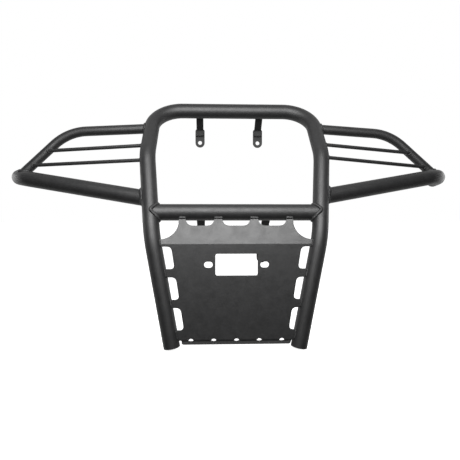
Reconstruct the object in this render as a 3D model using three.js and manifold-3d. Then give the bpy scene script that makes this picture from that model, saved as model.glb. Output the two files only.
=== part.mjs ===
// Front grille guard for an off-road vehicle: a welded frame of bent round tube that carries a
// bent sheet-metal winch plate, with one swept wing on each side and four mounting brackets.
// Units are millimetres. +X is the right-hand side as seen from in front, +Y points back to the
// vehicle and +Z is up. The guard stands on its two feet at z = 0.
import * as THREE from "three";
import { mergeVertices } from "three/addons/utils/BufferGeometryUtils.js";
import Module from "manifold-3d";

const wasm = await Module();
wasm.setup();

// ---------------------------------------------------------------- driving dimensions
const GAP = 0.3; // clearance left where two pieces are welded together

const MAIN_TUBE = { outer: 44.45, wall: 3.05, sides: 16 };
const WING_TUBE = { outer: 28.6, wall: 2.1, sides: 12 };
const MAIN_BEND = 89; // centreline radius of the main tube's bends
const FOLD_BEND = 200; // centreline radius of the uprights' lower, shallow bend
const KNEE_BEND = 120; // centreline radius of the uprights' upper bend
const WING_BEND = 140; // centreline radius of the upper wing tube's bend
const BEND_STEP = 15; // degrees between two sections in a bend
const ROD = { outer: 10.5, sides: 10 };

const TOP_BAR = { y: 235, z: 678.5 };
const CROSSBAR = { y: 24, z: 364.5, ends: [-229, 232] };

// Centreline corners. The two sides, each bent and welded by hand, are a few millimetres apart.
const LEFT = {
  label: "left",
  foot: [-170.8, 0, 5.5],
  fold: [-223, 0, 302],
  knee: [-243.5, 86, 527],
  shoulder: [-237, TOP_BAR.y, TOP_BAR.z],
  lowerWing: [[-232, 50, 401], [-643, 172, 470.5], [-643, 258, 474]],
  upperWing: [[-240, 174, 613.5], [-488.5, 190, 604], [-622, 176, 474]],
  highRod: [[-242, 118, 557], [-548, 176, 546]],
  lowRod: [[-242, 83, 511.5], [-588, 171, 503]],
};
const RIGHT = {
  label: "right",
  foot: [169.4, 0, 3.5],
  fold: [226, 0, 302],
  knee: [248, 86, 527],
  shoulder: [243.5, TOP_BAR.y, TOP_BAR.z],
  lowerWing: [[236, 50, 407], [645.5, 172, 480], [645, 258, 471]],
  upperWing: [[245, 174, 616], [480, 190, 603.5], [618.5, 176, 475]],
  highRod: [[247, 118, 563], [548, 176, 545.5]],
  lowRod: [[247, 83, 522], [588, 171, 503]],
};

// Winch plate. Its lower panel is upright, its upper panel leans back with the uprights, and a
// short flange at the foot is folded back.
const SHEET = 4.76;
const PLATE = {
  middleX: 1,
  frontY: -12,
  foldZ: 281,
  footZ: 24.6,
  topTabZ: 350,
  lean: 14.9, // degrees from upright, above the fold
  flangeAngle: 48, // degrees the flange is folded back from straight down
  flangeLength: 21,
  flangeClearance: 2,
  sideReach: 7, // how far its side straps run past the uprights' inner edges, before they are coped
};
const WINDOW = { width: 112, height: 57.4, z: 226, corner: 5 };
const SLOT = { width: 23, height: 16, x: 74.5, corner: 7.9 };
const SIDE_CUTS = { tops: [273.9, 192.8, 111.7], height: 58.9, corner: 12 };
const SIDE_CUT_EDGE = { footX: 135.3, foldX: 173.5 }; // their inner edges, level with foot and fold
const TOP_CUTS = { bottomZ: 329.5, rise: 14, run: 20, pull: 5 };
const TOP_TABS = [
  { x: 48, width: 22 },
  { x: 143.5, width: 18.5 },
];
const CORNER_CUT = { x: 203, z: 342, radius: 50, sides: 24 };
const FOOT_HOLES = { count: 5, pitch: 60.4, z: 22.9, diameter: 14, sides: 12 };

// Mounting brackets: a flat arm, welded on behind and below a tube's middle, and a wider tab with
// cut-off upper corners, a round end and one bolt hole.
const BRACKET = { armWidth: 22, thick: 6, tabWidth: 29.4, chamfer: 4, hole: 12.7, holeSides: 14, inset: 8 };
const UPPER_BRACKET = { xs: [-98.7, 86.4], y: 292, bendZ: 631, armEndZ: 612, holeZ: 590, tabTopZ: 633 };
const LOWER_BRACKET = { xs: [-93.6, 85.4], y: 156, bendZ: 270, armEndZ: 252, holeZ: 231, tabTopZ: 272 };

const PLUG = { rim: 1.6, rimInset: 0.4, rimEdge: 1, stem: 12, stemClearance: 0.8 };

// ---------------------------------------------------------------- solids and booleans
function toSolid(geometry) {
  const bare = geometry.clone();
  bare.deleteAttribute("normal");
  bare.deleteAttribute("uv");
  const merged = mergeVertices(bare, 1e-4);
  const vertProperties = Float32Array.from(merged.attributes.position.array);
  const triVerts = Uint32Array.from(merged.index.array);
  return new wasm.Manifold(new wasm.Mesh({ numProp: 3, vertProperties, triVerts }));
}

function toGeometry(solid) {
  const mesh = solid.getMesh();
  const geometry = new THREE.BufferGeometry();
  geometry.setAttribute("position", new THREE.BufferAttribute(mesh.vertProperties, 3));
  geometry.setIndex(new THREE.BufferAttribute(mesh.triVerts, 1));
  geometry.computeVertexNormals();
  return geometry;
}

// The main piece of a cut solid, without the slivers a cope leaves past its own edge.
function largest(solid) {
  const pieces = solid.decompose();
  return pieces.reduce((best, piece) => (piece.volume() > best.volume() ? piece : best));
}

// A centreline of straight runs and round bends. Its sections stand at the ends of the straights
// and every few degrees round a bend, so its parameter counts sections and isn't length.
class BentLine extends THREE.Curve {
  constructor(places, radii) {
    super();
    const corners = places.map((place) => new THREE.Vector3(...place));
    this.points = [corners[0].clone()];
    this.headings = [corners[1].clone().sub(corners[0]).normalize()];
    for (let i = 1; i < corners.length - 1; i += 1) {
      this.addBend(corners[i - 1], corners[i], corners[i + 1], radii[i - 1]);
    }
    this.points.push(corners.at(-1).clone());
    this.headings.push(corners.at(-1).clone().sub(corners.at(-2)).normalize());
  }

  addBend(before, corner, after, radius) {
    const inward = corner.clone().sub(before).normalize();
    const outward = after.clone().sub(corner).normalize();
    const turn = inward.angleTo(outward);
    const setback = radius * Math.tan(turn / 2);
    const start = corner.clone().addScaledVector(inward, -setback);
    const side = outward.clone().addScaledVector(inward, -Math.cos(turn)).normalize();
    const steps = Math.max(2, Math.ceil(THREE.MathUtils.radToDeg(turn) / BEND_STEP));
    for (let k = 0; k <= steps; k += 1) {
      const angle = (turn * k) / steps;
      const point = start.clone();
      point.addScaledVector(inward, radius * Math.sin(angle));
      point.addScaledVector(side, radius * (1 - Math.cos(angle)));
      this.points.push(point);
      const heading = inward.clone().multiplyScalar(Math.cos(angle));
      this.headings.push(heading.addScaledVector(side, Math.sin(angle)));
    }
  }

  get sections() {
    return this.points.length - 1;
  }

  getUtoTmapping(u) {
    return u;
  }

  getPoint(t) {
    return this.points[Math.round(t * this.sections)].clone();
  }

  getTangent(t) {
    return this.headings[Math.round(t * this.sections)].clone();
  }
}

function roundOutline(radius, sides) {
  const outline = [];
  for (let i = 0; i < sides; i += 1) {
    const angle = (2 * Math.PI * i) / sides;
    outline.push(new THREE.Vector2(radius * Math.cos(angle), radius * Math.sin(angle)));
  }
  return outline;
}

function bar(line, diameter, sides) {
  const shape = new THREE.Shape(roundOutline(diameter / 2, sides));
  const options = { steps: line.sections, bevelEnabled: false, extrudePath: line };
  return toSolid(new THREE.ExtrudeGeometry(shape, options));
}

function hollowTube(line, tube) {
  const shape = new THREE.Shape(roundOutline(tube.outer / 2, tube.sides));
  shape.holes.push(new THREE.Path(roundOutline(tube.outer / 2 - tube.wall, tube.sides)));
  const options = { steps: line.sections, bevelEnabled: false, extrudePath: line };
  return toSolid(new THREE.ExtrudeGeometry(shape, options));
}

function grown(line, tube) {
  return bar(line, tube.outer + 2 * GAP, tube.sides);
}

// An outline drawn in a plane, given a thickness along the plane's normal and then placed.
function sheetSolid(shape, thickness, matrix) {
  const options = { depth: thickness, bevelEnabled: false, curveSegments: 6 };
  const geometry = new THREE.ExtrudeGeometry(shape, options);
  geometry.translate(0, 0, -thickness / 2);
  geometry.applyMatrix4(matrix);
  return toSolid(geometry);
}

// The frame of an upright sheet: outline x runs along X, outline y up, leaning back by an angle.
function uprightFrame(x, y, z, leanDegrees = 0) {
  const lean = THREE.MathUtils.degToRad(leanDegrees);
  const across = new THREE.Vector3(1, 0, 0);
  const up = new THREE.Vector3(0, Math.sin(lean), Math.cos(lean));
  const normal = across.clone().cross(up);
  return new THREE.Matrix4().makeBasis(across, up, normal).setPosition(x, y, z);
}

function roundedBox(width, height, radius) {
  const shape = new THREE.Shape();
  const w = width / 2;
  const h = height / 2;
  shape.moveTo(-w + radius, -h);
  shape.lineTo(w - radius, -h);
  shape.absarc(w - radius, -h + radius, radius, -Math.PI / 2, 0);
  shape.lineTo(w, h - radius);
  shape.absarc(w - radius, h - radius, radius, 0, Math.PI / 2);
  shape.lineTo(-w + radius, h);
  shape.absarc(-w + radius, h - radius, radius, Math.PI / 2, Math.PI);
  shape.lineTo(-w, -h + radius);
  shape.absarc(-w + radius, -h + radius, radius, Math.PI, 1.5 * Math.PI);
  return shape;
}

// The frame of a side profile: outline x runs back along Y, outline y up, its depth along X.
function profileFrame(x) {
  const back = new THREE.Vector3(0, 1, 0);
  const up = new THREE.Vector3(0, 0, 1);
  return new THREE.Matrix4().makeBasis(back, up, back.clone().cross(up)).setPosition(x, 0, 0);
}

// ---------------------------------------------------------------- the tubes' centrelines
const crossbarLine = new BentLine(CROSSBAR.ends.map((x) => [x, CROSSBAR.y, CROSSBAR.z]), []);
const hoopLine = new BentLine(
  [
    ...[RIGHT.foot, RIGHT.fold, RIGHT.knee, RIGHT.shoulder],
    ...[LEFT.shoulder, LEFT.knee, LEFT.fold, LEFT.foot],
  ],
  [FOLD_BEND, KNEE_BEND, MAIN_BEND, MAIN_BEND, KNEE_BEND, FOLD_BEND],
);

// Half the distance between the uprights' axes at a corner.
function halfSpan(corner) {
  return (RIGHT[corner][0] - LEFT[corner][0]) / 2;
}

// ---------------------------------------------------------------- the winch plate
const CUTTER_DEPTH = 200;
const OVERRUN = 20; // how far a cutter runs past the edge it opens

// Half the plate's width at a height, out to where its side tabs meet the front of the uprights.
function plateHalfWidth(z) {
  const [footZ, foldZ, kneeZ] = [RIGHT.foot[2], RIGHT.fold[2], RIGHT.knee[2]];
  const below = Math.min(1, (z - footZ) / (foldZ - footZ));
  const above = Math.max(0, (z - foldZ) / (kneeZ - foldZ));
  const belowX = THREE.MathUtils.lerp(halfSpan("foot"), halfSpan("fold"), below);
  const axis = belowX + above * (halfSpan("knee") - halfSpan("fold"));
  return axis - MAIN_TUBE.outer / 2 + PLATE.sideReach;
}

// The bent blank: its side profile, drawn up the front and down the back, as wide as the top.
function plateBlank() {
  const lean = THREE.MathUtils.degToRad(PLATE.lean);
  const fall = THREE.MathUtils.degToRad(PLATE.flangeAngle);
  const panel = (PLATE.topTabZ - PLATE.foldZ) / Math.cos(lean);
  const topY = PLATE.frontY + panel * Math.sin(lean);
  const endY = PLATE.frontY + PLATE.flangeLength * Math.sin(fall);
  const endZ = PLATE.footZ - PLATE.flangeLength * Math.cos(fall);
  const profile = [
    new THREE.Vector2(endY, endZ),
    new THREE.Vector2(PLATE.frontY, PLATE.footZ),
    new THREE.Vector2(PLATE.frontY, PLATE.foldZ),
    new THREE.Vector2(topY, PLATE.topTabZ),
    new THREE.Vector2(topY + SHEET * Math.cos(lean), PLATE.topTabZ - SHEET * Math.sin(lean)),
    new THREE.Vector2(PLATE.frontY + SHEET, PLATE.foldZ - SHEET * Math.tan(lean / 2)),
    new THREE.Vector2(PLATE.frontY + SHEET, PLATE.footZ + SHEET * Math.tan(fall / 2)),
    new THREE.Vector2(endY + SHEET * Math.cos(fall), endZ + SHEET * Math.sin(fall)),
  ];
  return sheetSolid(new THREE.Shape(profile), 2 * plateHalfWidth(PLATE.topTabZ), profileFrame(0));
}

// A prism square to the lower panel, or to the upper panel when it leans.
function cutter(shape, x, z, lean = 0) {
  const y = PLATE.frontY + (z - PLATE.foldZ) * Math.tan(THREE.MathUtils.degToRad(lean));
  return sheetSolid(shape, CUTTER_DEPTH, uprightFrame(x, y, z, lean));
}

// The plate's outline seen from in front, from below its flange to above its top tabs.
function plateOutline() {
  const high = PLATE.topTabZ + OVERRUN;
  const flangeHalf = halfSpan("foot") - MAIN_TUBE.outer / 2 - PLATE.flangeClearance;
  const right = [
    new THREE.Vector2(flangeHalf, -OVERRUN),
    new THREE.Vector2(flangeHalf, PLATE.footZ),
    new THREE.Vector2(plateHalfWidth(PLATE.footZ), PLATE.footZ),
    new THREE.Vector2(plateHalfWidth(PLATE.foldZ), PLATE.foldZ),
    new THREE.Vector2(plateHalfWidth(high), high),
  ];
  const left = right.map((corner) => new THREE.Vector2(-corner.x, corner.y)).reverse();
  return cutter(new THREE.Shape([...right, ...left]), 0, 0);
}

// A round-cornered bite between two side tabs, open towards the upright.
function sideCut(side, topZ) {
  const bottomZ = topZ - SIDE_CUTS.height;
  const r = SIDE_CUTS.corner;
  const share = (z) => (z - PLATE.footZ) / (PLATE.foldZ - PLATE.footZ);
  const inner = (z) => side * THREE.MathUtils.lerp(SIDE_CUT_EDGE.footX, SIDE_CUT_EDGE.foldX, share(z));
  const outer = side * (plateHalfWidth(topZ) + OVERRUN);
  const shape = new THREE.Shape();
  shape.moveTo(outer, topZ);
  shape.lineTo(inner(topZ) + side * r, topZ);
  shape.quadraticCurveTo(inner(topZ), topZ, inner(topZ - r), topZ - r);
  shape.lineTo(inner(bottomZ + r), bottomZ + r);
  shape.quadraticCurveTo(inner(bottomZ), bottomZ, inner(bottomZ) + side * r, bottomZ);
  shape.lineTo(outer, bottomZ);
  return cutter(shape, 0, 0);
}

// A scallop between two top tabs, open at the top, with wide round lower corners.
function topCut(fromX, toX) {
  const { rise, run, pull } = TOP_CUTS;
  const high = PLATE.topTabZ - TOP_CUTS.bottomZ + OVERRUN;
  const shape = new THREE.Shape();
  shape.moveTo(fromX, high);
  shape.lineTo(fromX, rise);
  shape.quadraticCurveTo(fromX + pull, 0, fromX + run, 0);
  shape.lineTo(toX - run, 0);
  shape.quadraticCurveTo(toX - pull, 0, toX, rise);
  shape.lineTo(toX, high);
  return cutter(shape, 0, TOP_CUTS.bottomZ, PLATE.lean);
}

// The round opening between an upright, the crossbar and the outer top tab.
function cornerCut(side) {
  const shape = new THREE.Shape(roundOutline(CORNER_CUT.radius, CORNER_CUT.sides));
  return cutter(shape, side * CORNER_CUT.x, CORNER_CUT.z, PLATE.lean);
}

function winchPlate() {
  const cuts = [
    cutter(roundedBox(WINDOW.width, WINDOW.height, WINDOW.corner), 0, WINDOW.z),
    cutter(roundedBox(SLOT.width, SLOT.height, SLOT.corner), -SLOT.x, WINDOW.z),
    cutter(roundedBox(SLOT.width, SLOT.height, SLOT.corner), SLOT.x, WINDOW.z),
    cornerCut(-1),
    cornerCut(1),
  ];
  for (const topZ of SIDE_CUTS.tops) {
    cuts.push(sideCut(-1, topZ), sideCut(1, topZ));
  }
  const [inner, outer] = TOP_TABS;
  cuts.push(topCut(-inner.x + inner.width / 2, inner.x - inner.width / 2));
  cuts.push(topCut(inner.x + inner.width / 2, outer.x - outer.width / 2));
  cuts.push(topCut(-outer.x + outer.width / 2, -inner.x - inner.width / 2));
  for (let i = 0; i < FOOT_HOLES.count; i += 1) {
    const x = (i - (FOOT_HOLES.count - 1) / 2) * FOOT_HOLES.pitch;
    const hole = new THREE.Shape(roundOutline(FOOT_HOLES.diameter / 2, FOOT_HOLES.sides));
    cuts.push(cutter(hole, x, FOOT_HOLES.z));
  }
  let plate = plateBlank().intersect(plateOutline());
  for (const cut of cuts) {
    plate = plate.subtract(cut);
  }
  plate = plate.translate([PLATE.middleX, 0, 0]);
  return plate.subtract(grown(hoopLine, MAIN_TUBE)).subtract(grown(crossbarLine, MAIN_TUBE));
}

// ---------------------------------------------------------------- brackets and plugs
// A flat bar that leaves the tube at a slant and turns down to lie against its tab.
function bracketArm(x, tube, spec) {
  const half = BRACKET.thick / 2;
  const from = new THREE.Vector2(tube.y + BRACKET.inset, tube.z - BRACKET.inset);
  const slant = new THREE.Vector2(spec.y, spec.bendZ).sub(from).normalize().multiplyScalar(half);
  const outline = [
    new THREE.Vector2(from.x + slant.y, from.y - slant.x),
    new THREE.Vector2(spec.y - half, spec.bendZ - half),
    new THREE.Vector2(spec.y - half, spec.armEndZ),
    new THREE.Vector2(spec.y + half, spec.armEndZ),
    new THREE.Vector2(spec.y + half, spec.bendZ + half),
    new THREE.Vector2(from.x - slant.y, from.y + slant.x),
  ];
  return sheetSolid(new THREE.Shape(outline), BRACKET.armWidth, profileFrame(x));
}

function bracketTab(x, spec) {
  const r = BRACKET.tabWidth / 2;
  const rise = spec.tabTopZ - spec.holeZ;
  const shape = new THREE.Shape();
  shape.moveTo(r, rise - BRACKET.chamfer);
  shape.lineTo(r - BRACKET.chamfer, rise);
  shape.lineTo(-r + BRACKET.chamfer, rise);
  shape.lineTo(-r, rise - BRACKET.chamfer);
  shape.lineTo(-r, 0);
  shape.absarc(0, 0, r, Math.PI, 2 * Math.PI);
  shape.holes.push(new THREE.Path(roundOutline(BRACKET.hole / 2, BRACKET.holeSides)));
  return sheetSolid(shape, BRACKET.thick, uprightFrame(x, spec.y + BRACKET.thick + GAP, spec.holeZ));
}

// A pressed-in plug: a thin rim outside the tube and a stem inside it.
function plug(end, heading, tube) {
  const rimRadius = tube.outer / 2 - PLUG.rimInset;
  const stemRadius = tube.outer / 2 - tube.wall - PLUG.stemClearance;
  const profile = [
    new THREE.Vector2(0, -PLUG.rim),
    new THREE.Vector2(rimRadius - PLUG.rimEdge, -PLUG.rim),
    new THREE.Vector2(rimRadius, -PLUG.rim + PLUG.rimEdge),
    new THREE.Vector2(rimRadius, -GAP),
    new THREE.Vector2(stemRadius, -GAP),
    new THREE.Vector2(stemRadius, PLUG.stem),
    new THREE.Vector2(0, PLUG.stem),
  ];
  const geometry = new THREE.LatheGeometry(profile, tube.sides);
  const turn = new THREE.Quaternion().setFromUnitVectors(new THREE.Vector3(0, 1, 0), heading);
  geometry.applyMatrix4(new THREE.Matrix4().makeRotationFromQuaternion(turn).setPosition(end));
  return toSolid(geometry);
}

// ---------------------------------------------------------------- assembly
const powderCoat = { color: 0x2b2b2c, roughness: 0.55, metalness: 0.0 };
const plateCoat = { color: 0x323334, roughness: 0.6, metalness: 0.0 };
const plastic = { color: 0x161616, roughness: 0.7, metalness: 0.0 };
const guard = new THREE.Group();

function add(name, solid, look) {
  const mesh = new THREE.Mesh(toGeometry(solid), new THREE.MeshStandardMaterial(look));
  mesh.name = name;
  guard.add(mesh);
}

const hoopGrown = grown(hoopLine, MAIN_TUBE);
const crossbarGrown = grown(crossbarLine, MAIN_TUBE);
add("main_hoop", hollowTube(hoopLine, MAIN_TUBE), powderCoat);
add("crossbar", largest(hollowTube(crossbarLine, MAIN_TUBE).subtract(hoopGrown)), powderCoat);
add("winch_plate", winchPlate(), plateCoat);

for (const side of [LEFT, RIGHT]) {
  const lowerLine = new BentLine(side.lowerWing, [MAIN_BEND]);
  const upperLine = new BentLine(side.upperWing, [WING_BEND]);
  const lower = hollowTube(lowerLine, MAIN_TUBE).subtract(hoopGrown);
  add(`wing_lower_${side.label}`, largest(lower), powderCoat);
  const upper = hollowTube(upperLine, WING_TUBE).subtract(hoopGrown);
  add(`wing_upper_${side.label}`, largest(upper.subtract(grown(lowerLine, MAIN_TUBE))), powderCoat);
  for (const [height, ends] of [["high", side.highRod], ["low", side.lowRod]]) {
    const rod = bar(new BentLine(ends, []), ROD.outer, ROD.sides);
    const fitted = rod.subtract(hoopGrown).subtract(grown(upperLine, WING_TUBE));
    add(`wing_rod_${height}_${side.label}`, largest(fitted), powderCoat);
  }
  const tipHeading = lowerLine.headings.at(-1).clone().negate();
  add(`wing_plug_${side.label}`, plug(lowerLine.points.at(-1), tipHeading, MAIN_TUBE), plastic);
}
const leftFootHeading = hoopLine.headings.at(-1).clone().negate();
add("foot_plug_left", plug(hoopLine.points.at(-1), leftFootHeading, MAIN_TUBE), plastic);
add("foot_plug_right", plug(hoopLine.points[0], hoopLine.headings[0], MAIN_TUBE), plastic);

for (const [place, spec, tube, tubeGrown] of [
  ["upper", UPPER_BRACKET, TOP_BAR, hoopGrown],
  ["lower", LOWER_BRACKET, CROSSBAR, crossbarGrown],
]) {
  for (const [label, x] of [["left", spec.xs[0]], ["right", spec.xs[1]]]) {
    add(`${place}_arm_${label}`, bracketArm(x, tube, spec).subtract(tubeGrown), powderCoat);
    add(`${place}_tab_${label}`, bracketTab(x, spec), powderCoat);
  }
}

// The origin is the middle of the guard's box, at floor level.
const box = new THREE.Box3().setFromObject(guard);
const middle = box.getCenter(new THREE.Vector3());
guard.position.set(-middle.x, -middle.y, -box.min.z);

export default guard;
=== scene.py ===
"""Looks for the front grille guard: bent tubes with coped ends, a press-braked winch plate, flat-bar
brackets and rippled weld beads in fine-textured satin black powder coat, and moulded plugs."""

import math
import random

import bmesh
import bpy
import numpy as np
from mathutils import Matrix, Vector


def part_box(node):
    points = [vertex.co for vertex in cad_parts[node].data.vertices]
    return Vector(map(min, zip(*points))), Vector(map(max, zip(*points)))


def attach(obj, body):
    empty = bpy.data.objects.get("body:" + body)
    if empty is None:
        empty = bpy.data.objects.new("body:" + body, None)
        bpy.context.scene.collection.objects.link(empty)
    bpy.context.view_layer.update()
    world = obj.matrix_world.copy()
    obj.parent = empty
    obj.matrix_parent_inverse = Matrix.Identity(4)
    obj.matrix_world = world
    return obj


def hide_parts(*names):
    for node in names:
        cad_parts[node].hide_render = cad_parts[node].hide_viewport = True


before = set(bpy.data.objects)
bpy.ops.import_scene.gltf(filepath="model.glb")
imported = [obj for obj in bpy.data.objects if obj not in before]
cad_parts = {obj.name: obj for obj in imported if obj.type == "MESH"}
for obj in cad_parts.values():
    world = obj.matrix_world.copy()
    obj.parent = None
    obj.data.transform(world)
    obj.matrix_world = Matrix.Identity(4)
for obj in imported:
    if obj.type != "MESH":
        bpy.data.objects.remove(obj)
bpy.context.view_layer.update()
MM = 0.001

# ------------------------------------------------------------------ dimensions, millimetres
# The same as the CAD's, measured from the lower legs' axis plane and the bottom of the feet.
MAIN = {"radius": 22.225, "wall": 3.05}
WING = {"radius": 14.3, "wall": 2.1}
ROD_RADIUS = 5.25
MAIN_BEND, FOLD_BEND, KNEE_BEND, WING_BEND = 89, 200, 120, 140
TOP_BAR = (235, 678.5)
CROSSBAR = {"y": 24, "z": 364.5, "ends": (-229, 232)}

# Centreline corners. The two sides, each bent and welded by hand, are a few millimetres apart.
LEFT = {
    "label": "left",
    "hoop": [(-170.8, 0, 5.5), (-223, 0, 302), (-243.5, 86, 527), (-237, *TOP_BAR)],
    "lower_wing": [(-232, 50, 401), (-643, 172, 470.5), (-643, 258, 474)],
    "upper_wing": [(-240, 174, 613.5), (-488.5, 190, 604), (-622, 176, 474)],
    "high_rod": [(-242, 118, 557), (-548, 176, 546)],
    "low_rod": [(-242, 83, 511.5), (-588, 171, 503)],
}
RIGHT = {
    "label": "right",
    "hoop": [(169.4, 0, 3.5), (226, 0, 302), (248, 86, 527), (243.5, *TOP_BAR)],
    "lower_wing": [(236, 50, 407), (645.5, 172, 480), (645, 258, 471)],
    "upper_wing": [(245, 174, 616), (480, 190, 603.5), (618.5, 176, 475)],
    "high_rod": [(247, 118, 563), (548, 176, 545.5)],
    "low_rod": [(247, 83, 522), (588, 171, 503)],
}

SHEET = 4.76
PLATE = {
    "middle": 1, "front": -12, "foot": 24.6, "fold": 281, "top": 350, "lean": 14.9,
    "fall": 48, "flange": 21, "flange_corner": 4, "foot_step": 2, "bend_radius": 9,
}
SIDE_REACH, FLANGE_CLEARANCE = 7, 2
WINDOW = {"half": (56, 28.7), "z": 226, "corner": 5}
SLOT = {"half": (11.5, 8), "x": 74.5, "corner": 7.9}
SIDE_CUTS = {"tops": (273.9, 192.8, 111.7), "height": 58.9, "corner": 12}
SIDE_CUT_EDGE = {"foot": 135.3, "fold": 173.5}
TOP_CUTS = {"bottom": 329.5, "rise": 14, "run": 20, "pull": 5}
TOP_TABS = [(48, 22), (143.5, 18.5)]
CORNER_CUT = {"x": 203, "z": 342, "radius": 50, "above_fold": 16, "inset": 1, "end": -174}
FOOT_HOLES = {"xs": (-120.8, -60.4, 0, 60.4, 120.8), "z": 22.9, "radius": 7}

BRACKET = {
    "arm": 22, "thick": 6, "bend_radius": 12, "root": (8, -8), "root_reach": 8,
    "tab": 29.4, "hole": 6.35, "corner": 6.4, "gap": 0.3,
}
UPPER_BRACKET = {"xs": (-98.7, 86.4), "y": 292, "bend": 631, "arm_end": 612, "hole": 590, "top": 633}
LOWER_BRACKET = {"xs": (-93.6, 85.4), "y": 156, "bend": 270, "arm_end": 252, "hole": 231, "top": 272}

# Weld beads' nominal radii. Each of the plate's welds is (place, the way it stands, radius), where a
# side weld's place is (inward of the upright's axis, y) and a tab weld's place is (y, z).
BEADS = {
    "crossbar": 4.2, "lower_wing": 5.0, "upper_wing": 3.0, "rod_root": 1.7, "rod_tip": 1.9,
    "arm_end": 2.2, "arm_side": 1.7,
}
SIDE_WELDS = (((19.6, -12.2), (-0.6, -1), 2.2), ((21.6, -6.4), (-1, 0.6), 2.0))
TAB_WELDS = (((5.6, 350.4), (0, -1, 0.1), 3.3), ((12, 346), (0, 1, -1), 2.4))
BEAD_STEP, BEAD_SIDES = 0.7, 12

# A cope starts clear of the other tube, is looked for in steps within reach, and is tucked into it.
COPE = {"clear": 20, "reach": 130, "step": 0.5, "tuck": 0.8}
FOLD_STEPS = 6
SHORTEST_EDGE = 0.05
CAMERA = {"place": (-78.8, -1367, 352), "tilt": 1.45, "turn": 2.63, "sensor": 36, "lens": 40.304348}

# The crossbar's box and one bracket's place those dimensions in the row frame.
crossbar_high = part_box("crossbar")[1]
tab_low, tab_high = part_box("upper_tab_left")
ORIGIN = Vector((
    (tab_low[0] + tab_high[0]) / 2 - UPPER_BRACKET["xs"][0] * MM,
    crossbar_high[1] - (CROSSBAR["y"] + MAIN["radius"]) * MM,
    crossbar_high[2] - (CROSSBAR["z"] + MAIN["radius"]) * MM,
))


def metres(point):
    """A point in the dimensions' millimetres, in the row frame's metres."""
    return ORIGIN + Vector(point) * MM


# ------------------------------------------------------------------ materials
def powder_coat(name, tone, rough, grain):
    """Satin powder coat: orange-peel bump, fine grain, and faint changes of tone and gloss."""
    material = bpy.data.materials.new(name)
    material.use_nodes = True
    nodes, links = material.node_tree.nodes, material.node_tree.links
    shader = nodes["Principled BSDF"]
    shader.inputs["Metallic"].default_value = 0.0
    shader.inputs["IOR"].default_value = 1.52
    place = nodes.new("ShaderNodeTexCoord").outputs["Object"]

    def noise(scale, detail, roughness=0.5):
        node = nodes.new("ShaderNodeTexNoise")
        node.inputs["Scale"].default_value = scale
        node.inputs["Detail"].default_value = detail
        node.inputs["Roughness"].default_value = roughness
        links.new(place, node.inputs["Vector"])
        return node.outputs["Fac"]

    def ramp(source, low, high):
        node = nodes.new("ShaderNodeValToRGB")
        node.color_ramp.elements[0].position = 0.3
        node.color_ramp.elements[1].position = 0.7
        node.color_ramp.elements[0].color = (*low, 1)
        node.color_ramp.elements[1].color = (*high, 1)
        links.new(source, node.inputs["Fac"])
        return node.outputs["Color"]

    def bump(height, distance, strength, before=None):
        node = nodes.new("ShaderNodeBump")
        node.inputs["Distance"].default_value = distance
        node.inputs["Strength"].default_value = strength
        links.new(height, node.inputs["Height"])
        if before:
            links.new(before, node.inputs["Normal"])
        return node.outputs["Normal"]

    darker = tuple(0.82 * channel for channel in tone)
    lighter = tuple(1.18 * channel for channel in tone)
    links.new(ramp(noise(140, 3), darker, lighter), shader.inputs["Base Color"])
    matter, glossier = (rough + 0.05,) * 3, (rough - 0.05,) * 3
    links.new(ramp(noise(45, 4, 0.6), matter, glossier), shader.inputs["Roughness"])
    peel = bump(noise(420, 2), 0.0004, 0.35)
    fine = bump(noise(grain, 2, 0.6), 0.0002, 0.5, peel)
    links.new(fine, shader.inputs["Normal"])
    return material


tube_coat = powder_coat("powder_coat_tube", (0.010, 0.010, 0.0103), 0.5, 1500)
# The brackets wear the same satin black powder coat as the tubes. Their darker tone here is painted
# shade, standing in for the shade they sit in behind the bars and the plate.
bracket_coat_painted_shade = powder_coat("powder_coat_bracket_painted_shade", (0.007, 0.007, 0.0072), 0.72, 1500)
plate_coat = powder_coat("powder_coat_plate", (0.012, 0.012, 0.0123), 0.44, 1300)
plug_plastic = powder_coat("moulded_plastic", (0.007, 0.007, 0.007), 0.55, 2200)


# ------------------------------------------------------------------ pieces
def make_piece(name, bm, material, replaces=(), smooth_angle=35, weighted=False):
    bmesh.ops.remove_doubles(bm, verts=bm.verts, dist=1e-6)
    bmesh.ops.recalc_face_normals(bm, faces=bm.faces)
    mesh = bpy.data.meshes.new(name)
    bm.to_mesh(mesh)
    bm.free()
    mesh.shade_smooth()
    mesh.set_sharp_from_angle(angle=math.radians(smooth_angle))
    mesh.materials.append(material)
    piece = bpy.data.objects.new(name, mesh)
    bpy.context.scene.collection.objects.link(piece)
    if weighted:
        modifier = piece.modifiers.new("flat_faces_stay_flat", "WEIGHTED_NORMAL")
        modifier.keep_sharp = True
    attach(piece, "root")
    if replaces:
        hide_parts(*replaces)


def skin(bm, rings, closed_path=False, closed_section=True):
    """Quads between rows of vertices, one row for each section."""
    count = len(rings)
    for i in range(count if closed_path else count - 1):
        near, far = rings[i], rings[(i + 1) % count]
        size = len(near)
        for k in range(size if closed_section else size - 1):
            n = (k + 1) % size
            bm.faces.new((near[k], near[n], far[n], far[k]))


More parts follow.
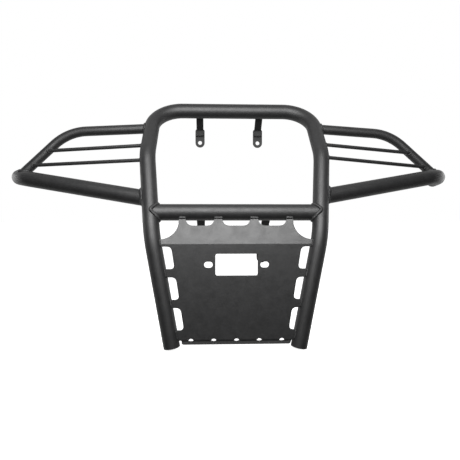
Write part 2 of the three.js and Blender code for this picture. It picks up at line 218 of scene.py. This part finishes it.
# ------------------------------------------------------------------ centrelines
def bent_line(corners, radii, straight_step=40, bend_step=3):
    """Points along straight runs joined by round bends, in millimetres."""
    corners = [Vector(corner) for corner in corners]
    knots = [corners[0]]
    for before, corner, after, radius in zip(corners, corners[1:], corners[2:], radii):
        inward = (corner - before).normalized()
        outward = (after - corner).normalized()
        turn = inward.angle(outward)
        start = corner - inward * radius * math.tan(turn / 2)
        side = (outward - inward * math.cos(turn)).normalized()
        steps = max(4, math.ceil(math.degrees(turn) / bend_step))
        for k in range(steps + 1):
            angle = turn * k / steps
            along = inward * radius * math.sin(angle)
            knots.append(start + along + side * radius * (1 - math.cos(angle)))
    knots.append(corners[-1])
    points = [knots[0]]
    for a, b in zip(knots, knots[1:]):
        pieces = max(1, round((b - a).length / straight_step))
        points += [a.lerp(b, (k + 1) / pieces) for k in range(pieces)]
    return points


def headings(points):
    """The line's heading at each point, halfway between its two neighbours' at a bend."""
    result = [(points[1] - points[0]).normalized()]
    for a, b, c in zip(points, points[1:], points[2:]):
        result.append(((b - a).normalized() + (c - b).normalized()).normalized())
    result.append((points[-1] - points[-2]).normalized())
    return result


def section_axes(points):
    """For each point, two directions across the line that never twist about it."""
    along = headings(points)
    across = along[0].orthogonal().normalized()
    axes = []
    for heading in along:
        across = (across - heading * across.dot(heading)).normalized()
        axes.append((across.copy(), heading.cross(across)))
    return axes


def circle(point, axes, radius, segments):
    turns = [2 * math.pi * k / segments for k in range(segments)]
    return [point + (axes[0] * math.cos(a) + axes[1] * math.sin(a)) * radius for a in turns]


def nearest(points, line):
    """For each point, its distance from a line and the nearest place on the line."""
    p = np.array(points)[:, None, :]
    a = np.array(line[:-1])[None, :, :]
    d = np.array(line[1:])[None, :, :] - a
    t = np.clip(((p - a) * d).sum(2) / (d * d).sum(2), 0, 1)[:, :, None]
    place = a + t * d
    distance = np.linalg.norm(p - place, axis=2)
    best = distance.argmin(axis=1)
    rows = np.arange(len(best))
    return distance[rows, best], place[rows, best]


def cope(ring, heading, line, radius):
    """Where straight lines from a ring, along a heading, first come within a radius of a line."""
    low = np.zeros(len(ring))
    high = np.full(len(ring), np.nan)
    base = np.array(ring)
    step = np.array(heading)
    for reach in np.arange(0, COPE["reach"], COPE["step"]):
        distance, _ = nearest(base + step * reach, line)
        hit = np.isnan(high) & (distance <= radius)
        high[hit] = reach
        low[np.isnan(high)] = reach
    high[np.isnan(high)] = np.nanmax(high)
    for _ in range(10):
        middle = (low + high) / 2
        distance, _ = nearest(base + step * middle[:, None], line)
        inside = distance <= radius
        high = np.where(inside, middle, high)
        low = np.where(inside, low, middle)
    return [Vector(row) for row in base + step * high[:, None]]


# ------------------------------------------------------------------ weld beads
def add_bead(bm, path, outward, size, closed, rng):
    """A rippled bead along a path, in millimetres; outward is the way it stands at each point."""
    ripple = rng.uniform(3.0, 3.8)
    count = len(path)
    travelled = 0.0
    rings = []
    total = sum((b - a).length for a, b in zip(path, path[1:]))
    phase = rng.random()
    wander = rng.uniform(0, 6.28)
    for i, point in enumerate(path):
        if closed:
            tangent = (path[(i + 1) % count] - path[i - 1]).normalized()
        else:
            tangent = (path[min(i + 1, count - 1)] - path[max(i - 1, 0)]).normalized()
        out = (outward[i] - tangent * outward[i].dot(tangent)).normalized()
        side = tangent.cross(out)
        share = (travelled / ripple + phase) % 1.0
        swell = 0.88 + 0.2 * math.sin(math.pi * share ** 0.6)
        swell *= 1 + 0.06 * math.sin(travelled * 0.21 + wander)
        if not closed:
            edge = min(travelled, total - travelled) / (1.3 * size)
            swell *= math.sqrt(max(0.02, 1 - max(0.0, 1 - edge) ** 2))
        lean = tangent * size * 0.35 * math.sin(math.pi * share)
        ring = []
        for k in range(BEAD_SIDES):
            angle = 2 * math.pi * k / BEAD_SIDES
            offset = side * math.cos(angle) * size * 1.12 + out * math.sin(angle) * size * 0.85
            slump = lean * max(0.0, math.sin(angle))
            ring.append(bm.verts.new(metres(point + offset * swell + slump * (1 if closed else 0.4))))
        rings.append(ring)
        if i + 1 < count:
            travelled += (path[i + 1] - point).length
    skin(bm, rings, closed_path=closed)
    if not closed:
        bm.faces.new(rings[0])
        bm.faces.new(rings[-1])


def resample(path, step, closed):
    """The path again, in equal steps close to the one given."""
    points = list(path) + ([path[0]] if closed else [])
    lengths = [0.0]
    for a, b in zip(points, points[1:]):
        lengths.append(lengths[-1] + (b - a).length)
    count = max(4, round(lengths[-1] / step))
    result = []
    k = 0
    for i in range(count if closed else count + 1):
        target = lengths[-1] * i / count
        while k < len(lengths) - 2 and lengths[k + 1] < target:
            k += 1
        span = max(1e-9, lengths[k + 1] - lengths[k])
        result.append(points[k].lerp(points[k + 1], (target - lengths[k]) / span))
    return result


def joint_bead(bm, curve, own_line, other_line, size, rng):
    """A bead round a coped end, standing out between the two tubes' surfaces."""
    path = resample(curve, BEAD_STEP, True)
    _, own = nearest(path, own_line)
    _, other = nearest(path, other_line)
    outward = []
    for point, a, b in zip(path, own, other):
        from_own, from_other = (point - Vector(a)).normalized(), (point - Vector(b)).normalized()
        outward.append((from_own + from_other).normalized())
    shifted = [point + out * size * 0.25 for point, out in zip(path, outward)]
    add_bead(bm, shifted, outward, size, True, rng)


def straight_bead(bm, start, end, outward, size, rng):
    start, end = Vector(start), Vector(end)
    path = resample([start, end], BEAD_STEP, False)
    add_bead(bm, path, [Vector(outward).normalized()] * len(path), size, False, rng)


# ------------------------------------------------------------------ tubes
hoop_corners = RIGHT["hoop"] + LEFT["hoop"][::-1]
hoop_bends = [FOLD_BEND, KNEE_BEND, MAIN_BEND]
hoop_line = bent_line(hoop_corners, hoop_bends + hoop_bends[::-1])


def tube(name, line, radius, wall, start=None, end=None, segments=64):
    """A tube along a line, square-cut or coped to another tube (line, radius) at each end. It is
    hollow unless its wall is 0. It returns the outer edge of each coped end."""
    line = list(line)
    cuts = [(i, cut) for i, cut in ((0, start), (-1, end)) if cut]
    ways = {0: (line[0] - line[1]).normalized(), -1: (line[-1] - line[-2]).normalized()}
    for index, cut in cuts:
        while nearest([line[index]], cut[0])[0][0] < cut[1] + radius + COPE["clear"]:
            line.pop(index)
    seams = []
    shells = []
    axes = section_axes(line)
    bm = bmesh.new()
    for shell_radius in (radius, radius - wall) if wall else (radius,):
        rings = [circle(p, a, shell_radius, segments) for p, a in zip(line, axes)]
        for index, cut in cuts:
            seam = cope(rings[index], ways[index], cut[0], cut[1])
            tucked = [p + ways[index] * COPE["tuck"] for p in seam]
            rings.insert(0 if index == 0 else len(rings), tucked)
            if shell_radius == radius:
                seams.append(seam)
        shells.append([[bm.verts.new(metres(p)) for p in ring] for ring in rings])
    for rows in shells:
        skin(bm, rows)
    for index in (0, -1):
        if wall:
            skin(bm, [shells[0][index], shells[1][index]])
        else:
            bm.faces.new(shells[0][index])
    make_piece(f"{name}_tube", bm, tube_coat, [name])
    return seams


tube("main_hoop", hoop_line, MAIN["radius"], MAIN["wall"], segments=72)
hoop_cut = (hoop_line, MAIN["radius"])

rng = random.Random(7)
bead_mesh = bmesh.new()
crossbar_line = bent_line([(x, CROSSBAR["y"], CROSSBAR["z"]) for x in CROSSBAR["ends"]], [])
for seam in tube("crossbar", crossbar_line, MAIN["radius"], MAIN["wall"], hoop_cut, hoop_cut):
    joint_bead(bead_mesh, seam, crossbar_line, hoop_line, BEADS["crossbar"], rng)
make_piece("weld_crossbar", bead_mesh, tube_coat, smooth_angle=60)

for side in (LEFT, RIGHT):
    label = side["label"]
    bead_mesh = bmesh.new()
    lower_line = bent_line(side["lower_wing"], [MAIN_BEND])
    upper_line = bent_line(side["upper_wing"], [WING_BEND])
    seam, = tube(f"wing_lower_{label}", lower_line, MAIN["radius"], MAIN["wall"], hoop_cut)
    joint_bead(bead_mesh, seam, lower_line, hoop_line, BEADS["lower_wing"], rng)
    lower_cut = (lower_line, MAIN["radius"])
    inner, outer = tube(
        f"wing_upper_{label}", upper_line, WING["radius"], WING["wall"], hoop_cut, lower_cut
    )
    joint_bead(bead_mesh, inner, upper_line, hoop_line, BEADS["upper_wing"], rng)
    joint_bead(bead_mesh, outer, upper_line, lower_line, BEADS["upper_wing"], rng)
    upper_cut = (upper_line, WING["radius"])
    for height in ("high", "low"):
        rod_line = bent_line(side[f"{height}_rod"], [])
        inner, outer = tube(
            f"wing_rod_{height}_{label}", rod_line, ROD_RADIUS, 0, hoop_cut, upper_cut, segments=32
        )
        joint_bead(bead_mesh, inner, rod_line, hoop_line, BEADS["rod_root"], rng)
        joint_bead(bead_mesh, outer, rod_line, upper_line, BEADS["rod_tip"], rng)
    make_piece(f"weld_wing_{label}", bead_mesh, tube_coat, smooth_angle=60)


# ------------------------------------------------------------------ sheet and flat-bar pieces
def arc(cx, cy, radius, start, end, steps=10):
    """Points round a circle from one angle to another, in degrees."""
    angles = [math.radians(start + (end - start) * k / steps) for k in range(steps + 1)]
    return [(cx + radius * math.cos(a), cy + radius * math.sin(a)) for a in angles]


def curve(a, b, c, steps=8):
    """A quadratic curve from a to c, pulled towards b."""
    a, b, c = Vector(a), Vector(b), Vector(c)
    shares = [k / steps for k in range(steps + 1)]
    return [tuple(a.lerp(b, t).lerp(b.lerp(c, t), t)) for t in shares]


def round_box(cx, cy, half, r):
    """A rectangle of half sizes (across, up) with corners of radius r."""
    w, h = half[0] - r, half[1] - r
    outline = []
    for sx, sy, start in ((1, 1, 0), (-1, 1, 90), (-1, -1, 180), (1, -1, 270)):
        outline += arc(cx + sx * w, cy + sy * h, r, start, start + 90, 6)
    return outline


def tidy_outline(outline, anticlockwise):
    """The outline without repeated points, running the way that is asked for."""
    points = [Vector(outline[0])]
    for point in outline[1:]:
        if (Vector(point) - points[-1]).length > SHORTEST_EDGE:
            points.append(Vector(point))
    if (points[0] - points[-1]).length < SHORTEST_EDGE:
        points.pop()
    area = sum(a.x * b.y - b.x * a.y for a, b in zip(points, points[1:] + points[:1]))
    if (area > 0) != anticlockwise:
        points.reverse()
    return points


def inset(points, amount):
    """The outline moved to its left, which is into the metal."""
    result = []
    count = len(points)
    for i, point in enumerate(points):
        before = (point - points[i - 1]).normalized()
        after = (points[(i + 1) % count] - point).normalized()
        left = Vector((-before.y - after.y, before.x + after.x))
        left = left / max(0.3, left.length_squared / 2)
        result.append(point + left * amount)
    return result


def sheet_piece(name, outline, holes, thickness, bend, cuts, material, node, edge=0.7):
    """A sheet cut to an outline with holes, its edges rounded, then bent: bend(x, s, depth)."""
    bm = bmesh.new()
    loops = [tidy_outline(outline, True)] + [tidy_outline(hole, False) for hole in holes]
    steps = 3
    profile = []
    for k in range(steps + 1):
        angle = math.pi / 2 * k / steps
        profile.append((edge * (1 - math.sin(angle)), edge * (1 - math.cos(angle))))
    profile += [(amount, thickness - depth) for amount, depth in reversed(profile)]
    for k in (0, -1):
        edges = []
        for loop in loops:
            amount, depth = profile[k]
            row = [bm.verts.new((p.x, p.y, depth)) for p in inset(loop, amount)]
            edges += [bm.edges.new((row[i - 1], row[i])) for i in range(len(row))]
        bmesh.ops.triangle_fill(bm, use_beauty=True, use_dissolve=False, edges=edges)
    for loop in loops:
        rows = []
        for amount, depth in profile:
            rows.append([bm.verts.new((p.x, p.y, depth)) for p in inset(loop, amount)])
        skin(bm, rows)
    bmesh.ops.remove_doubles(bm, verts=bm.verts, dist=1e-4)
    for s in cuts:
        everything = bm.verts[:] + bm.edges[:] + bm.faces[:]
        bmesh.ops.bisect_plane(
            bm, geom=everything, plane_co=(0, s, 0), plane_no=(0, 1, 0), dist=1e-5
        )
    for vert in bm.verts:
        vert.co = metres(bend(*vert.co))
    make_piece(name, bm, material, [node], smooth_angle=50, weighted=True)


def folded(profile, radius):
    """A bend function for a side profile of (y, z) corners whose folds have a given outer radius,
    with the places along it where the sheet is to be divided."""
    corners = [Vector(point) for point in profile]
    places = [0.0]
    for a, b in zip(corners, corners[1:]):
        places.append(places[-1] + (b - a).length)
    folds = []
    cuts = []
    for i in range(1, len(corners) - 1):
        turn = (corners[i] - corners[i - 1]).angle_signed(corners[i + 1] - corners[i])
        setback = radius * math.tan(abs(turn) / 2)
        folds.append((places[i], turn, setback))
        cuts += [places[i] - setback + 2 * setback * k / FOLD_STEPS for k in range(FOLD_STEPS + 1)]

    def front(s):
        """The face's place and its heading at a distance along the profile."""
        i = max(k for k in range(len(places) - 1) if k == 0 or places[k] <= s)
        heading = (corners[i + 1] - corners[i]).normalized()
        point = corners[i] + heading * (s - places[i])
        for k, (place, turn, setback) in enumerate(folds, 1):
            if abs(s - place) < setback:
                before = (corners[k] - corners[k - 1]).normalized()
                after = (corners[k + 1] - corners[k]).normalized()
                side = (after - before * before.dot(after)).normalized()
                angle = abs(turn) * (s - place + setback) / (2 * setback)
                start = corners[k] - before * setback
                along = before * radius * math.sin(angle)
                point = start + along + side * radius * (1 - math.cos(angle))
                heading = before * math.cos(angle) + side * math.sin(angle)
        return point, heading

    return front, cuts


# The plate's profile runs up its front face, from the flange's free edge to the top tabs.
lean, fall = math.radians(PLATE["lean"]), math.radians(PLATE["fall"])
panel = (PLATE["top"] - PLATE["fold"]) / math.cos(lean)
flange_back, flange_drop = PLATE["flange"] * math.sin(fall), PLATE["flange"] * math.cos(fall)
plate_profile = [
    (PLATE["front"] + flange_back, PLATE["foot"] - flange_drop),
    (PLATE["front"], PLATE["foot"]),
    (PLATE["front"], PLATE["fold"]),
    (PLATE["front"] + panel * math.sin(lean), PLATE["top"]),
]
plate_front, plate_cuts = folded(plate_profile, PLATE["bend_radius"])


def plate_bend(x, s, depth):
    point, heading = plate_front(s)
    back = Vector((heading.y, -heading.x))
    point = point + back * depth
    return (x + PLATE["middle"], point.x, point.y)


def up_plate(z):
    """The distance up the plate's profile of a height on its front face."""
    if z <= PLATE["fold"]:
        return PLATE["flange"] + z - PLATE["foot"]
    return PLATE["flange"] + PLATE["fold"] - PLATE["foot"] + (z - PLATE["fold"]) / math.cos(lean)


def axis_x(z, side=None):
    """The x of an upright's axis at a height: one side's, or half the distance between the two."""
    if side is None:
        return (axis_x(z, RIGHT) - axis_x(z, LEFT)) / 2
    foot, fold, knee, _ = side["hoop"]
    below = min(1.0, (z - foot[2]) / (fold[2] - foot[2]))
    above = max(0.0, (z - fold[2]) / (knee[2] - fold[2]))
    return foot[0] + below * (fold[0] - foot[0]) + above * (knee[0] - fold[0])


def plate_half(z):
    """Half the plate's width at a height: its edges run a little way into the uprights."""
    return axis_x(z) - MAIN["radius"] + SIDE_REACH


def side_cut_edge(z):
    """The x of the side cut-outs' inner edges at a height."""
    share = (z - PLATE["foot"]) / (PLATE["fold"] - PLATE["foot"])
    return SIDE_CUT_EDGE["foot"] + share * (SIDE_CUT_EDGE["fold"] - SIDE_CUT_EDGE["foot"])


def plate_outline():
    """Both halves: the right one from the flange's free edge up to the top, then its mirror image."""
    flange_half = axis_x(RIGHT["hoop"][0][2]) - MAIN["radius"] - FLANGE_CLEARANCE
    foot_s = up_plate(PLATE["foot"])
    corner, step = PLATE["flange_corner"], PLATE["foot_step"]
    half = [(flange_half - corner, 0), (flange_half, corner)]
    half += [(flange_half, foot_s - step), (flange_half + step, foot_s)]
    half.append((plate_half(PLATE["foot"]), foot_s))
    r = SIDE_CUTS["corner"]
    for top in reversed(SIDE_CUTS["tops"]):
        bottom = top - SIDE_CUTS["height"]
        low_edge, high_edge = side_cut_edge(bottom), side_cut_edge(top)
        low_s, high_s = up_plate(bottom), up_plate(top)
        half.append((plate_half(bottom), low_s))
        half += curve(
            (low_edge + r, low_s), (low_edge, low_s), (side_cut_edge(bottom + r), up_plate(bottom + r))
        )
        half += curve(
            (side_cut_edge(top - r), up_plate(top - r)), (high_edge, high_s), (high_edge + r, high_s)
        )
        half.append((plate_half(top), high_s))
    centre = (CORNER_CUT["x"], up_plate(CORNER_CUT["z"]))
    radius = CORNER_CUT["radius"]
    neck = plate_half(PLATE["fold"] + CORNER_CUT["above_fold"]) - CORNER_CUT["inset"]
    start = math.degrees(math.acos(max(-1, min(1, (neck - centre[0]) / radius))))
    half.append((neck, centre[1] - radius * math.sin(math.radians(start))))
    half += arc(*centre, radius, -start, CORNER_CUT["end"], 28)
    top_s = up_plate(PLATE["top"])
    bottom = up_plate(TOP_CUTS["bottom"])
    rise, run, pull = TOP_CUTS["rise"], TOP_CUTS["run"], TOP_CUTS["pull"]
    for x, width in reversed(TOP_TABS):
        outer, inner = x + width / 2, x - width / 2
        if (x, width) != TOP_TABS[-1]:
            half += curve((outer + run, bottom), (outer + pull, bottom), (outer, bottom + rise))
        half += [(outer, top_s), (inner, top_s)]
        half += curve((inner, bottom + rise), (inner - pull, bottom), (inner - run, bottom))
    other = [(-x, s) for x, s in reversed(half)]
    return half + other


plate_holes = [round_box(0, up_plate(WINDOW["z"]), WINDOW["half"], WINDOW["corner"])]
for x in (-SLOT["x"], SLOT["x"]):
    plate_holes.append(round_box(x, up_plate(WINDOW["z"]), SLOT["half"], SLOT["corner"]))
for x in FOOT_HOLES["xs"]:
    plate_holes.append(arc(x, up_plate(FOOT_HOLES["z"]), FOOT_HOLES["radius"], 0, 352, 44))
sheet_piece(
    "winch_plate_sheet", plate_outline(), plate_holes, SHEET, plate_bend, plate_cuts,
    plate_coat, "winch_plate",
)

# ------------------------------------------------------------------ brackets
def bracket(bm, place, label, x, spec, axis):
    """An arm bent down from a tube's axis, a round-ended tab behind it and the beads between them."""
    half = BRACKET["thick"] / 2
    bend_corner = Vector((spec["y"] + half, spec["bend"]))
    foot = axis + Vector(BRACKET["root"])
    slant = (bend_corner - foot).normalized()
    root = foot + slant * BRACKET["root_reach"]
    # The profile runs up the rear face: the sheet's depth is then towards the front.
    profile = [
        (spec["y"] + half, spec["arm_end"]),
        tuple(bend_corner),
        tuple(root + Vector((-slant.y, slant.x)) * half),
    ]
    arm_front, arm_cuts = folded(profile, BRACKET["bend_radius"])
    length = sum((Vector(b) - Vector(a)).length for a, b in zip(profile, profile[1:]))
    tab_front = spec["y"] + half + BRACKET["gap"]

    def arm_bend(across, s, depth):
        point, heading = arm_front(s)
        front = Vector((-heading.y, heading.x))
        point = point + front * depth
        return (x + across, point.x, point.y)

    def tab_bend(across, s, depth):
        return (x + across, tab_front + depth, spec["hole"] + s)

    w = BRACKET["arm"] / 2
    outline = [(-w, 0), (w, 0), (w, length), (-w, length)]
    sheet_piece(
        f"{place}_arm_{label}_bar", outline, [], BRACKET["thick"], arm_bend, arm_cuts,
        bracket_coat_painted_shade, f"{place}_arm_{label}",
    )
    r = BRACKET["tab"] / 2
    rise = spec["top"] - spec["hole"]
    corner = BRACKET["corner"]
    outline = arc(0, 0, r, 180, 360, 28)
    outline += curve((r, rise - corner), (r, rise), (r - corner, rise))
    outline += curve((-r + corner, rise), (-r, rise), (-r, rise - corner))
    sheet_piece(
        f"{place}_tab_{label}_bar", outline, [arc(0, 0, BRACKET["hole"], 0, 352, 44)],
        BRACKET["thick"], tab_bend, [], bracket_coat_painted_shade, f"{place}_tab_{label}",
    )
    # Each bead's centre is a millimetre or so from the corner that it fills.
    rear = spec["y"] + half
    end = spec["arm_end"]
    straight_bead(
        bm, (x - w - 1.5, rear - 1, end - 0.5), (x + w + 1.5, rear - 1, end - 0.5),
        (0, -1, -0.4), BEADS["arm_end"], rng,
    )
    for edge in (-1, 1):
        beside = x + edge * (w + 0.6)
        straight_bead(
            bm, (beside, rear - 0.6, end), (beside, rear - 0.6, spec["bend"] - 2),
            (edge * 0.6, -1, 0), BEADS["arm_side"], rng,
        )


bead_mesh = bmesh.new()
for place, spec, axis in (
    ("upper", UPPER_BRACKET, Vector(TOP_BAR)),
    ("lower", LOWER_BRACKET, Vector((CROSSBAR["y"], CROSSBAR["z"]))),
):
    for label, x in zip(("left", "right"), spec["xs"]):
        bracket(bead_mesh, place, label, x, spec, axis)
make_piece("weld_brackets", bead_mesh, tube_coat, smooth_angle=60)

# ------------------------------------------------------------------ welds of the winch plate
bead_mesh = bmesh.new()
cut_tops = SIDE_CUTS["tops"][::-1]
starts = [PLATE["foot"] + 2] + [top + 1 for top in cut_tops]
ends = [top - SIDE_CUTS["height"] - 1 for top in cut_tops] + [PLATE["fold"] + 12]
for side, sign in ((LEFT, -1), (RIGHT, 1)):
    for low, high in zip(starts, ends):
        for (inward, depth), outward, size in SIDE_WELDS:
            straight_bead(
                bead_mesh,
                (axis_x(low, side) - sign * inward, depth, low),
                (axis_x(high, side) - sign * inward, depth, high),
                (sign * outward[0], outward[1], 0),
                size, rng,
            )
for x, width in [(-x, w) for x, w in reversed(TOP_TABS)] + TOP_TABS:
    left = x + PLATE["middle"] - width / 2 - 1.2
    right = x + PLATE["middle"] + width / 2 + 1.2
    for place, outward, size in TAB_WELDS:
        straight_bead(bead_mesh, (left, *place), (right, *place), outward, size, rng)
make_piece("weld_plate", bead_mesh, tube_coat, smooth_angle=60)


# ------------------------------------------------------------------ plugs
def plug(name, end, inward, radius, wall):
    """A moulded plug: a domed, chamfered rim over a tube's end and a ribbed stem inside it."""
    rim, rib = radius - 0.4, radius - wall - 0.5
    stem = rib - 0.6
    profile = [(0, -1.6), (rim - 8, -1.6), (rim - 3.0, -1.55), (rim - 1.4, -1.3), (rim - 0.5, -0.8)]
    profile += [(rim, -0.1), (rim, 0), (stem, 0), (stem, 2), (rib, 2.6), (stem, 3.4), (stem, 5)]
    profile += [(rib, 5.6), (stem, 6.4), (stem, 8), (rib, 8.6), (rib - 0.8, 11), (0, 11)]
    along = Vector(inward).normalized()
    across = along.orthogonal().normalized()
    axes = (across, along.cross(across))
    bm = bmesh.new()
    rows = []
    for ring_radius, depth in profile:
        centre = Vector(end) + along * depth
        if ring_radius == 0:
            rows.append([bm.verts.new(metres(centre))])
        else:
            rows.append([bm.verts.new(metres(p)) for p in circle(centre, axes, ring_radius, 64)])
    skin(bm, rows[1:-1])
    for tip, row in ((rows[0][0], rows[1]), (rows[-1][0], rows[-2])):
        for k in range(len(row)):
            bm.faces.new((tip, row[k - 1], row[k]))
    make_piece(f"{name}_cap", bm, plug_plastic, [name], smooth_angle=30)


for side in (LEFT, RIGHT):
    for place, end, before in (("wing", *side["lower_wing"][:0:-1]), ("foot", *side["hoop"][:2])):
        inward = Vector(before) - Vector(end)
        plug(f"{place}_plug_{side['label']}", end, inward, MAIN["radius"], MAIN["wall"])


# ------------------------------------------------------------------ floor, light and camera
def area_light(name, place, target, size, power):
    data = bpy.data.lights.new(name, "AREA")
    data.shape = "RECTANGLE"
    data.size, data.size_y = size
    data.energy = power
    light = bpy.data.objects.new(name, data)
    light.location = place
    light.rotation_euler = (Vector(target) - Vector(place)).to_track_quat("-Z", "Y").to_euler()
    light.visible_camera = False
    bpy.context.scene.collection.objects.link(light)


floor_mesh = bpy.data.meshes.new("floor")
floor_mesh.from_pydata([(-30, -30, 0), (30, -30, 0), (30, 30, 0), (-30, 30, 0)], [], [(0, 1, 2, 3)])
floor = bpy.data.objects.new("floor", floor_mesh)
bpy.context.scene.collection.objects.link(floor)
floor_paint = bpy.data.materials.new("pale_floor")
floor_paint.use_nodes = True
floor_shader = floor_paint.node_tree.nodes["Principled BSDF"]
floor_shader.inputs["Base Color"].default_value = (0.9, 0.9, 0.9, 1)
floor_shader.inputs["Roughness"].default_value = 0.8
floor_shader.inputs["Emission Color"].default_value = (1, 1, 1, 1)
floor_shader.inputs["Emission Strength"].default_value = 0.85
floor_mesh.materials.append(floor_paint)
floor.visible_diffuse = False
floor.visible_glossy = False

# A white studio, dark on the camera's side of the guard and under it.
world = bpy.data.worlds.new("studio")
world.use_nodes = True
nodes, links = world.node_tree.nodes, world.node_tree.links
background = nodes["Background"]
background.inputs["Color"].default_value = (1, 1, 1, 1)
direction = nodes.new("ShaderNodeTexCoord")
lit_side = nodes.new("ShaderNodeVectorMath")
lit_side.operation = "DOT_PRODUCT"
lit_side.inputs[1].default_value = (0, 1, 0.1)
room = nodes.new("ShaderNodeMapRange")
room.inputs["From Min"].default_value = -0.1
room.inputs["From Max"].default_value = 0.4
room.inputs["To Min"].default_value = 0.05
room.inputs["To Max"].default_value = 0.85
seen = nodes.new("ShaderNodeLightPath")
mix = nodes.new("ShaderNodeMix")
mix.inputs["B"].default_value = 1.0
links.new(direction.outputs["Generated"], lit_side.inputs[0])
links.new(lit_side.outputs["Value"], room.inputs["Value"])
links.new(seen.outputs["Is Camera Ray"], mix.inputs["Factor"])
links.new(room.outputs["Result"], mix.inputs["A"])
links.new(mix.outputs["Result"], background.inputs["Strength"])
bpy.context.scene.world = world

# A large softbox above the camera, and a small one beyond each wing's tip.
area_light("key_softbox", (-0.08, -1.14, 1.05), (-0.03, -0.12, 0.33), (1.2, 1.1), 45)
for label, sign in (("left", -1), ("right", 1)):
    place, target = (sign * 1.1, 0.3, 0.5), (sign * 0.62, 0, 0.47)
    area_light(f"tip_softbox_{label}", place, target, (0.35, 0.35), 1.1)

camera_data = bpy.data.cameras.new("camera")
camera_data.sensor_width = CAMERA["sensor"]
camera_data.lens = CAMERA["lens"]
camera = bpy.data.objects.new("camera", camera_data)
camera.location = metres(CAMERA["place"])
camera.rotation_euler = (math.radians(90 - CAMERA["tilt"]), 0, math.radians(-CAMERA["turn"]))
bpy.context.scene.collection.objects.link(camera)
bpy.context.scene.camera = camera
bpy.context.scene.view_settings.view_transform = "Standard"
